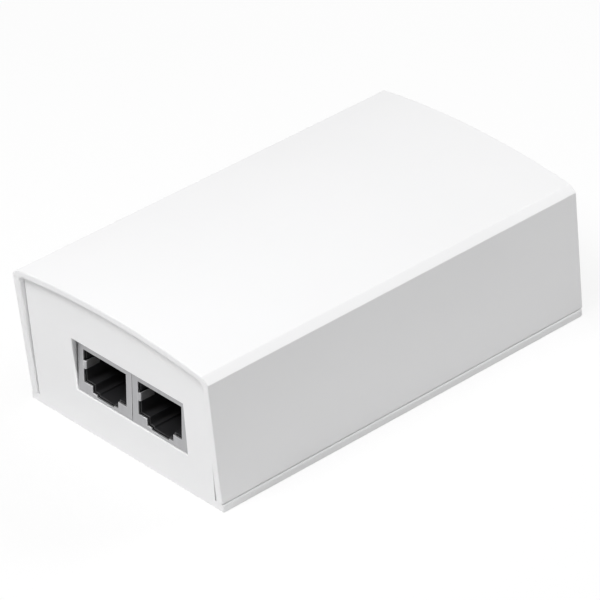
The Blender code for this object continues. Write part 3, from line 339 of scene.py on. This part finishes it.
def moulded_grain():
    """Fine pits all over a surface and broad uneven patches."""
    sizes = {"Grain Size": 0.0003, "Patch Size": 0.012}
    tree, given, out = new_effect("moulded grain", sizes, ("Height", "Patches"))
    place = add(tree, "ShaderNodeTexCoord").outputs["Object"]
    tree.links.new(noise_of_size(tree, place, given["Grain Size"], detail=2.0), out["Height"])
    tree.links.new(noise_of_size(tree, place, given["Patch Size"], detail=3.0), out["Patches"])
    return tree


def rolled_sheet():
    """Fine lines along a rolled or drawn metal, and the broader streaks among them."""
    sizes = {"Line Width": 0.00008, "Streak Width": 0.0009}
    tree, given, out = new_effect("rolled sheet", sizes, ("Height", "Patches"))
    place = add(tree, "ShaderNodeTexCoord").outputs["Object"]
    stretch = add(tree, "ShaderNodeMapping", {"Vector": place, "Scale": (1.0, 0.6, 0.05)}).outputs[0]
    tree.links.new(noise_of_size(tree, stretch, given["Line Width"], detail=3.0), out["Height"])
    tree.links.new(noise_of_size(tree, stretch, given["Streak Width"], detail=3.0), out["Patches"])
    return tree


def edge_wear():
    """A mask along the edges, broken up where handling has missed them."""
    full_bend = 0.12
    missed, worn = 0.35, 0.65
    tree, given, out = new_effect("edge wear", {"Width": 0.0003, "Breaks": 0.004}, ("Mask",))
    round_normal = add(tree, "ShaderNodeBevel", {"Radius": given["Width"]}, samples=4).outputs[0]
    flat_normal = add(tree, "ShaderNodeNewGeometry").outputs["Normal"]
    turn = add(tree, "ShaderNodeVectorMath", {0: round_normal, 1: flat_normal}, operation="DOT_PRODUCT")
    bent = math_node(tree, "SUBTRACT", 1.0, turn.outputs["Value"])
    edge = add(tree, "ShaderNodeMapRange", {"Value": bent, "From Max": full_bend}).outputs[0]
    place = add(tree, "ShaderNodeTexCoord").outputs["Object"]
    noise = noise_of_size(tree, place, given["Breaks"], detail=2.0)
    breaks = {"Value": noise, "From Min": missed, "From Max": worn}
    patch = add(tree, "ShaderNodeMapRange", breaks).outputs[0]
    tree.links.new(math_node(tree, "MULTIPLY", edge, patch), out["Mask"])
    return tree


def settled_dust():
    """A faint film on what faces up, thicker in patches."""
    steep, level = 0.3, 1.0
    tree, given, out = new_effect("settled dust", {"Patch Size": 0.02}, ("Mask",))
    normal = add(tree, "ShaderNodeNewGeometry").outputs["Normal"]
    up = add(tree, "ShaderNodeSeparateXYZ", {0: normal}).outputs["Z"]
    film = add(tree, "ShaderNodeMapRange", {"Value": up, "From Min": steep, "From Max": level}).outputs[0]
    place = add(tree, "ShaderNodeTexCoord").outputs["Object"]
    noise = noise_of_size(tree, place, given["Patch Size"], detail=5.0)
    tree.links.new(math_node(tree, "MULTIPLY", film, noise), out["Mask"])
    return tree


def effect(tree, make, sizes=None):
    """A shared effect, made once, placed in a material with its own sizes."""
    group = bpy.data.node_groups.get(make.__name__.replace("_", " ")) or make()
    return add(tree, "ShaderNodeGroup", sizes, node_tree=group).outputs


def finish(
    name,
    tint,
    shade,
    roughness,
    surface=moulded_grain,
    sizes=None,
    depth=0.000004,
    metallic=0.0,
    wear=0.0,
    worn=(0.9, 0.9, 0.9),
    dust=0.0,
):
    """A finish: uneven colour and sheen, surface relief, worn edges and a film of dust."""
    material = bpy.data.materials.new(name)
    material.use_nodes = True
    tree = material.node_tree
    shader = tree.nodes["Principled BSDF"]
    shader.inputs["Metallic"].default_value = metallic
    relief = effect(tree, surface, sizes)
    base = mix_colours(tree, relief["Patches"], (*shade, 1.0), (*tint, 1.0))
    if wear:
        mask = math_node(tree, "MULTIPLY", effect(tree, edge_wear)["Mask"], wear)
        base = mix_colours(tree, mask, base, (*worn, 1.0))
    if dust:
        mask = math_node(tree, "MULTIPLY", effect(tree, settled_dust)["Mask"], dust)
        base = mix_colours(tree, mask, base, (*DUST_COLOUR, 1.0))
    dull, bright = roughness * (1 + SHEEN_SPREAD), roughness * (1 - SHEEN_SPREAD)
    uneven = {"Value": relief["Patches"], "To Min": dull, "To Max": bright}
    sheen = add(tree, "ShaderNodeMapRange", uneven).outputs[0]
    pits = {"Height": relief["Height"], "Strength": RELIEF_STRENGTH, "Distance": depth}
    bump = add(tree, "ShaderNodeBump", pits).outputs[0]
    tree.links.new(base, shader.inputs["Base Color"])
    tree.links.new(sheen, shader.inputs["Roughness"])
    tree.links.new(bump, shader.inputs["Normal"])
    return material


def darker(tint, kept):
    """A colour with only a share of its light kept."""
    return tuple(kept * part for part in tint)


def white_plastic(case):
    """Satin white plastic, made once for both mouldings."""
    known = bpy.data.materials.get("satin white plastic")
    if known:
        return known
    return finish(
        "satin white plastic",
        case.tint,
        case.shade,
        case.roughness,
        sizes={"Grain Size": case.grain_size, "Patch Size": 0.03},
        depth=case.grain_depth,
        wear=0.25,
        dust=0.05,
    )


def tin_plate(jacks):
    """The rolled and tin-plated sheet of the shields."""
    return finish(
        "tin-plated sheet",
        jacks.metal,
        jacks.metal_shade,
        jacks.metal_roughness,
        surface=rolled_sheet,
        depth=0.000003,
        metallic=1.0,
        wear=0.6,
        worn=(0.86, 0.86, 0.86),
    )


def socket_plastic(jacks):
    """The black plastic of the plug sockets."""
    return finish(
        "black socket plastic",
        jacks.plastic,
        jacks.plastic_shade,
        roughness=0.45,
        sizes={"Grain Size": 0.00015, "Patch Size": 0.004},
        wear=0.3,
        worn=(0.05, 0.05, 0.05),
    )


def gold_plate(jacks):
    """The gold on the drawn contact wires."""
    return finish(
        "gold-plated wire",
        jacks.gold,
        darker(jacks.gold, 0.85),
        roughness=0.26,
        surface=rolled_sheet,
        sizes={"Line Width": 0.00005, "Streak Width": 0.0004},
        depth=0.000001,
        metallic=1.0,
    )


def inlet_plastic(inlet):
    """The black plastic of the mains inlet."""
    return finish(
        "black inlet plastic",
        inlet.plastic,
        inlet.plastic_shade,
        roughness=0.40,
        sizes={"Grain Size": 0.0002, "Patch Size": 0.006},
        wear=0.3,
        worn=(0.10, 0.10, 0.10),
        dust=0.05,
    )


def pin_plate(inlet):
    """The plating of the inlet's pins."""
    return finish(
        "plated pin",
        inlet.metal,
        darker(inlet.metal, 0.86),
        roughness=0.28,
        surface=rolled_sheet,
        depth=0.000002,
        metallic=1.0,
        wear=0.5,
    )


def zinc_plate(screws):
    """The zinc on the screws."""
    return finish(
        "zinc-plated steel",
        screws.metal,
        darker(screws.metal, 0.8),
        roughness=0.34,
        sizes={"Grain Size": 0.0001, "Patch Size": 0.001},
        depth=0.000003,
        metallic=1.0,
        wear=0.6,
        worn=(0.7, 0.7, 0.7),
    )


def bare_metal(name, tint, shade, roughness):
    """A rolled or drawn metal inside the case."""
    return finish(name, tint, shade, roughness, surface=rolled_sheet, metallic=1.0)


def board_looks():
    """The finishes of the board and the parts on it: colour, its duller shade and roughness."""
    return {
        "board_green": finish("green solder mask", (0.03, 0.15, 0.06), (0.045, 0.19, 0.085), 0.38),
        "can_sleeve": finish("shrunk sleeve", (0.022, 0.024, 0.030), (0.035, 0.037, 0.045), 0.34),
        "component_black": finish("moulded epoxy", (0.020, 0.020, 0.022), (0.034, 0.034, 0.036), 0.55),
        "ferrite_grey": finish("fired ferrite", (0.070, 0.070, 0.075), (0.095, 0.095, 0.10), 0.66),
        "winding_tape": finish("polyester tape", (0.72, 0.55, 0.10), (0.64, 0.48, 0.08), 0.40),
        "winding_copper": bare_metal("enamelled copper", (0.60, 0.24, 0.10), (0.48, 0.18, 0.07), 0.34),
        "heatsink_metal": bare_metal("rolled aluminium", (0.66, 0.67, 0.68), (0.56, 0.57, 0.58), 0.40),
        "film_yellow": finish("yellow epoxy box", (0.70, 0.51, 0.07), (0.62, 0.45, 0.06), 0.42),
        "disc_blue": finish("blue dipped lacquer", (0.055, 0.15, 0.35), (0.075, 0.19, 0.40), 0.36),
        "fuse_brown": finish("brown cap", (0.13, 0.050, 0.028), (0.17, 0.070, 0.040), 0.45),
    }


def show(name, mesh, material, slot, *replaced):
    """Puts a piece on the body of the solids that it stands for."""
    if not replaced:
        raise RuntimeError(f"{name} stands for no solid")
    mesh.materials.clear()
    mesh.materials.append(material)
    mesh.shade_smooth()
    obj = bpy.data.objects.new(name, mesh)
    bpy.context.scene.collection.objects.link(obj)
    even = obj.modifiers.new("Even shading", "WEIGHTED_NORMAL")
    even.keep_sharp = True
    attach(obj, NODES[replaced[0]]["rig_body"])
    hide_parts(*replaced)


def repaint(node, material):
    """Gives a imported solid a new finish."""
    for place in NODES[node].material_slots:
        place.material = material


def clean_copy(node):
    """The welded mesh of a solid, with one face for each flat."""
    graph = bmesh.new()
    graph.from_mesh(NODES[node].data)
    bmesh.ops.remove_doubles(graph, verts=graph.verts, dist=WELD)
    bmesh.ops.dissolve_limit(graph, angle_limit=FLAT_ANGLE, verts=graph.verts, edges=graph.edges)
    return graph


def crisp_edges(graph):
    """The outward edges that a mould or a press would leave slightly round."""
    return [e for e in graph.edges if e.is_manifold and e.calc_face_angle_signed() > CRISP_ANGLE]


def case_air():
    """What stops a ray that leaves the case: both mouldings."""
    points, faces = [], []
    for node in ("top_shell", "base_tray"):
        first = len(points)
        points += [vertex.co for vertex in NODES[node].data.vertices]
        faces += [[first + corner for corner in face.vertices] for face in NODES[node].data.polygons]
    return BVHTree.FromPolygons(points, faces)


def outward(edge):
    """The way that an edge points, between its two faces."""
    return (edge.link_faces[0].normal + edge.link_faces[1].normal).normalized()


def middle(edge):
    """The point half way along an edge."""
    return (edge.verts[0].co + edge.verts[1].co) / 2


def open_edges(graph, air):
    """The crisp edges that can be seen from outside the case."""
    found = []
    for edge in crisp_edges(graph):
        start = middle(edge) + LIFT * outward(edge)
        ways = [outward(edge)] + [face.normal for face in edge.link_faces]
        free = [air.ray_cast(start, way)[0] is None for way in ways]
        if free[0] and any(free[1:]):
            found.append(edge)
    return found


def round_edges(graph, edges, radius, steps, clamp=True):
    """Rounds edges, by less than the radius where a clamp keeps them from overlapping."""
    if not edges:
        raise RuntimeError("no edge to soften")
    bmesh.ops.bevel(
        graph,
        geom=edges,
        offset=radius,
        offset_type="OFFSET",
        segments=steps,
        profile=CIRCULAR,
        affect="EDGES",
        clamp_overlap=clamp,
    )


def as_mesh(graph, name):
    """A mesh without the normals of the solid that it was copied from."""
    mesh = bpy.data.meshes.new(name)
    graph.to_mesh(mesh)
    graph.free()
    for attribute in [a for a in mesh.attributes if a.name == "custom_normal"]:
        mesh.attributes.remove(attribute)
    return mesh


def softened(node, radius, steps):
    """A copy of a solid with its crisp edges rounded."""
    graph = clean_copy(node)
    round_edges(graph, crisp_edges(graph), radius, steps)
    return as_mesh(graph, node)


def inner_rim(edge, foot):
    """Whether an edge runs round the inside of a rim, well above the shell's foot."""
    way, place = outward(edge), middle(edge)
    inwards = way.x * place.x < 0 and abs(way.x) > TURNED
    return place.z > 2 * foot and (inwards or way.z < -TURNED)


class MakeTopShell(bpy.types.Operator):
    """Soften the top shell's edges and give it its satin white finish"""

    bl_idname = "poe_injector.make_top_shell"
    bl_label = "Top shell"

    def execute(self, context):
        case = settings().case
        graph = clean_copy("top_shell")
        air = case_air()
        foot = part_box("top_shell")[0].z
        for vertex in graph.verts:
            if vertex.co.z < foot + WELD:
                vertex.co.z -= case.seam_closing
        rims = [e for e in open_edges(graph, air) if inner_rim(e, foot)]
        round_edges(graph, rims, case.rim_softness, case.steps)
        upper = [e for e in open_edges(graph, air) if middle(e).z > foot]
        round_edges(graph, upper, case.softness, case.steps)
        lower = [e for e in open_edges(graph, air) if middle(e).z < foot]
        round_edges(graph, lower, case.foot_softness, case.steps)
        shell = as_mesh(graph, "top_shell")
        show("top_shell_moulding", shell, white_plastic(case), "case_white", "top_shell")
        return {"FINISHED"}


def far_corner(edge, limit):
    """Whether an edge stands at one of the tray's corners at the inlet end."""
    return all(abs(v.co.x) > limit.x - NEAR and v.co.y > limit.y - NEAR for v in edge.verts)


def lean_panel(graph, case, low, high):
    """Leans the jack-end panel out and brings its edges towards the rim, clear of its jacks."""
    for face in graph.faces:
        face.tag = face.normal.y < -SQUARE_ON and face.calc_center_median().y < low.y + CLEAR
    for vertex in graph.verts:
        if not any(face.tag for face in vertex.link_faces):
            continue
        vertex.co.y -= math.tan(case.panel_lean) * vertex.co.z
        if vertex.co.z > CLEAR and abs(vertex.co.x) > high.x + WELL_CLEAR:
            vertex.co.x += math.copysign(case.panel_closing, vertex.co.x)
        if vertex.co.z > high.z + WELL_CLEAR:
            vertex.co.z += case.panel_closing


def panel_edge(edge, low, high):
    """Whether an edge runs round the jack-end panel, clear of the box of its jacks."""
    place = middle(edge)
    outside = place.x < low.x - CLEAR or place.x > high.x + CLEAR or place.z > high.z + CLEAR
    at_front = place.y < low.y + NEAR and place.z > CLEAR
    return at_front and outside and sum(face.normal.y < -SQUARE_ON for face in edge.link_faces) == 1


def window_edge(edge, low):
    """Whether an edge looks out of the jack end, higher than half way up to its jacks."""
    return outward(edge).y < -HALF_ON and middle(edge).z > low.z / 2


class MakeBaseTray(bpy.types.Operator):
    """Soften the base tray's edges and give it its satin white finish"""

    bl_idname = "poe_injector.make_base_tray"
    bl_label = "Base tray"

    def execute(self, context):
        case = settings().case
        graph = clean_copy("base_tray")
        air = case_air()
        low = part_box("out_jack_shield")[0]
        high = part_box("in_jack_shield")[1]
        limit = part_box("base_tray")[1]
        for vertex in graph.verts:
            if abs(vertex.co.x) > limit.x - NEAR:
                vertex.co.x += math.copysign(case.edge_reach, vertex.co.x)
        corners = [e for e in crisp_edges(graph) if far_corner(e, limit)]
        round_edges(graph, corners, case.corner_softness, case.steps, clamp=False)
        lean_panel(graph, case, low, high)
        panel = [e for e in crisp_edges(graph) if panel_edge(e, low, high)]
        round_edges(graph, panel, case.panel_softness, case.steps, clamp=False)
        window = [e for e in open_edges(graph, air) if window_edge(e, low)]
        round_edges(graph, window, case.window_softness, case.steps)
        round_edges(graph, open_edges(graph, air), case.softness, case.steps, clamp=False)
        for vertex in graph.verts:
            vertex.co.z = max(vertex.co.z, CAD_BOX[0].z)
        tray = as_mesh(graph, "base_tray")
        show("base_tray_moulding", tray, white_plastic(case), "case_white", "base_tray")
        return {"FINISHED"}


def closed_shield(node, jacks):
    """A copy of a jack's shield that reaches over the gaps round it, with its cut edges rounded."""
    graph = clean_copy(node)
    low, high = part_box(node)
    for vertex in graph.verts:
        if vertex.co.z < low.z + WELD:
            vertex.co.z -= jacks.sill_closing
        if vertex.co.x < low.x + WELD:
            vertex.co.x -= jacks.side_closing
        elif vertex.co.x > high.x - WELD:
            vertex.co.x += jacks.side_closing
    round_edges(graph, crisp_edges(graph), jacks.softness, FINE_STEPS)
    return as_mesh(graph, node)


class MakeJacks(bpy.types.Operator):
    """Give the jacks their plated sheet shields and black sockets"""

    bl_idname = "poe_injector.make_jacks"
    bl_label = "Network jacks"

    def execute(self, context):
        jacks = settings().jacks
        sheet = tin_plate(jacks)
        black = socket_plastic(jacks)
        for side in JACKS:
            shield = closed_shield(f"{side}_jack_shield", jacks)
            show(f"{side}_shield_sheet", shield, sheet, "jack_shield", f"{side}_jack_shield")
            housing = softened(f"{side}_jack_housing", jacks.socket_softness, FINE_STEPS)
            show(f"{side}_socket_moulding", housing, black, "jack_black", f"{side}_jack_housing")
            repaint(f"{side}_jack_carrier", black)
        return {"FINISHED"}


class MakeContacts(bpy.types.Operator):
    """Give the sprung contact wires their gold plating"""

    bl_idname = "poe_injector.make_contacts"
    bl_label = "Contact wires"

    def execute(self, context):
        jacks = settings().jacks
        gold = gold_plate(jacks)
        for side in JACKS:
            for number in range(1, CONTACTS_PER_JACK + 1):
                node = f"{side}_contact_{number}"
                wire = softened(node, jacks.wire_softness, FINE_STEPS)
                show(f"{node}_wire", wire, gold, "contact_gold", node)
        return {"FINISHED"}


class MakeInlet(bpy.types.Operator):
    """Soften the mains inlet's edges and plate its three pins"""

    bl_idname = "poe_injector.make_inlet"
    bl_label = "Mains inlet"

    def execute(self, context):
        inlet = settings().inlet
        black = inlet_plastic(inlet)
        plated = pin_plate(inlet)
        body = softened("inlet_body", inlet.softness, BROAD_STEPS)
        show("inlet_moulding", body, black, "inlet_black", "inlet_body")
        for pin in INLET_PINS:
            blade = softened(f"inlet_{pin}_pin", inlet.pin_softness, BROAD_STEPS)
            show(f"inlet_{pin}_blade", blade, plated, "plated_pin", f"inlet_{pin}_pin")
        return {"FINISHED"}


class MakeScrews(bpy.types.Operator):
    """Soften the screws' edges and plate them"""

    bl_idname = "poe_injector.make_screws"
    bl_label = "Screws"

    def execute(self, context):
        screws = settings().screws
        zinc = zinc_plate(screws)
        for node in [name for name in NODES if "_screw_" in name]:
            screw = softened(node, screws.softness, FINE_STEPS)
            show(f"{node}_turned", screw, zinc, "screw_steel", node)
        return {"FINISHED"}


class MakeBoard(bpy.types.Operator):
    """Give the circuit board and the parts on it their finishes"""

    bl_idname = "poe_injector.make_board"
    bl_label = "Board and its parts"

    def execute(self, context):
        looks = board_looks()
        for node in NODES:
            starts = [start for start in BOARD_FINISHES if node.startswith(start)]
            if starts:
                repaint(node, looks[BOARD_FINISHES[max(starts, key=len)]])
        return {"FINISHED"}


def picture_rays(tree):
    """One for what the picture, a reflection or glass shows, none for the light that falls on the object."""
    path = add(tree, "ShaderNodeLightPath").outputs
    seen = math_node(tree, "MAXIMUM", path["Is Camera Ray"], path["Is Glossy Ray"])
    return math_node(tree, "MAXIMUM", seen, path["Is Transmission Ray"])


def add_sky(scene, stage):
    """White all round in the picture, and a faint even light on the object."""
    world = bpy.data.worlds.new("studio")
    world.use_nodes = True
    scene.world = world
    tree = world.node_tree
    sky = tree.nodes["Background"]
    sky.inputs["Color"].default_value = WHITE
    levels = {"Value": picture_rays(tree), "To Min": stage.ambient, "To Max": 1.0}
    strength = add(tree, "ShaderNodeMapRange", levels).outputs[0]
    tree.links.new(strength, sky.inputs["Strength"])


def floor_paint(stage):
    """Matt pale paint that takes the object's shadow and fades to white in the picture."""
    paint = bpy.data.materials.new("pale floor")
    paint.use_nodes = True
    tree = paint.node_tree
    matt = tree.nodes["Principled BSDF"]
    matt.inputs["Base Color"].default_value = (*stage.floor, 1.0)
    matt.inputs["Roughness"].default_value = FLOOR_ROUGHNESS
    matt.inputs["Specular IOR Level"].default_value = FLOOR_SPECULAR
    white = add(tree, "ShaderNodeEmission", {"Color": WHITE, "Strength": 1.0})
    glow = math_node(tree, "MULTIPLY", picture_rays(tree), stage.floor_glow)
    mixed = add(tree, "ShaderNodeMixShader", {0: glow, 1: matt.outputs[0], 2: white.outputs[0]})
    tree.links.new(mixed.outputs[0], tree.nodes["Material Output"].inputs["Surface"])
    return paint


def add_floor(scene, stage):
    """A square floor just under the object."""
    mesh = bpy.data.meshes.new("floor")
    half = FLOOR_HALF
    corners = [(-half, -half, 0), (half, -half, 0), (half, half, 0), (-half, half, 0)]
    mesh.from_pydata(corners, [], [(0, 1, 2, 3)])
    floor = bpy.data.objects.new("floor", mesh)
    floor.location.z = CAD_BOX[0].z - FLOOR_DROP
    scene.collection.objects.link(floor)
    mesh.materials.append(floor_paint(stage))


def add_lamp(scene, name, place, width, watts, target):
    """A soft round lamp that looks at its target."""
    data = bpy.data.lights.new(name, "AREA")
    data.shape = "DISK"
    data.size = width
    data.energy = watts
    obj = bpy.data.objects.new(name, data)
    obj.location = place
    obj.rotation_euler = (Vector(target) - Vector(place)).to_track_quat("-Z", "Y").to_euler()
    scene.collection.objects.link(obj)


def add_camera(scene, stage):
    """The camera at the photo's angle."""
    turn, rise = stage.azimuth, stage.elevation
    right = Vector((math.cos(turn), math.sin(turn), 0.0))
    back = Vector((math.sin(turn) * math.cos(rise), -math.cos(turn) * math.cos(rise), math.sin(rise)))
    data = bpy.data.cameras.new("camera")
    data.sensor_width = FILM_WIDTH
    data.lens = stage.lens
    camera = bpy.data.objects.new("camera", data)
    scene.collection.objects.link(camera)
    axes = Matrix((right, back.cross(right), back)).transposed().to_4x4()
    camera.matrix_world = Matrix.Translation(Vector(stage.aim) + stage.distance * back) @ axes
    scene.camera = camera


class MakeStage(bpy.types.Operator):
    """Add the pale floor, the soft lamps and the camera"""

    bl_idname = "poe_injector.make_stage"
    bl_label = "Stage"

    def execute(self, context):
        stage = settings().stage
        scene = context.scene
        scene.view_settings.view_transform = "Standard"
        add_sky(scene, stage)
        add_floor(scene, stage)
        for name, (place, width, target) in LAMPS.items():
            add_lamp(scene, f"{name} lamp", place, width, getattr(stage, name), target)
        add_camera(scene, stage)
        return {"FINISHED"}


STEPS = (
    MakeTopShell,
    MakeBaseTray,
    MakeJacks,
    MakeContacts,
    MakeInlet,
    MakeScrews,
    MakeBoard,
    MakeStage,
)


class InjectorPanel(bpy.types.Panel):
    """Steps and settings of the PoE injector"""

    bl_idname = "VIEW3D_PT_poe_injector"
    bl_label = "PoE injector"
    bl_space_type = "VIEW_3D"
    bl_region_type = "UI"
    bl_category = "PoE injector"

    def draw(self, context):
        layout = self.layout
        for step in STEPS:
            layout.operator(step.bl_idname)
        for name in InjectorSettings.__annotations__:
            group = getattr(settings(), name)
            box = layout.box()
            box.label(text=name.title())
            for label in group.__annotations__:
                box.prop(group, label)


CLASSES = (
    CaseSettings,
    JackSettings,
    InletSettings,
    ScrewSettings,
    StageSettings,
    InjectorSettings,
    *STEPS,
    InjectorPanel,
)


def register():
    for kind in CLASSES:
        bpy.utils.register_class(kind)
    bpy.types.Scene.poe_injector = PointerProperty(type=InjectorSettings)


def unregister():
    del bpy.types.Scene.poe_injector
    for kind in reversed(CLASSES):
        bpy.utils.unregister_class(kind)


def main():
    register()
    for step in STEPS:
        group, name = step.bl_idname.split(".")
        getattr(getattr(bpy.ops, group), name)()


if __name__ == "__main__":
    main()
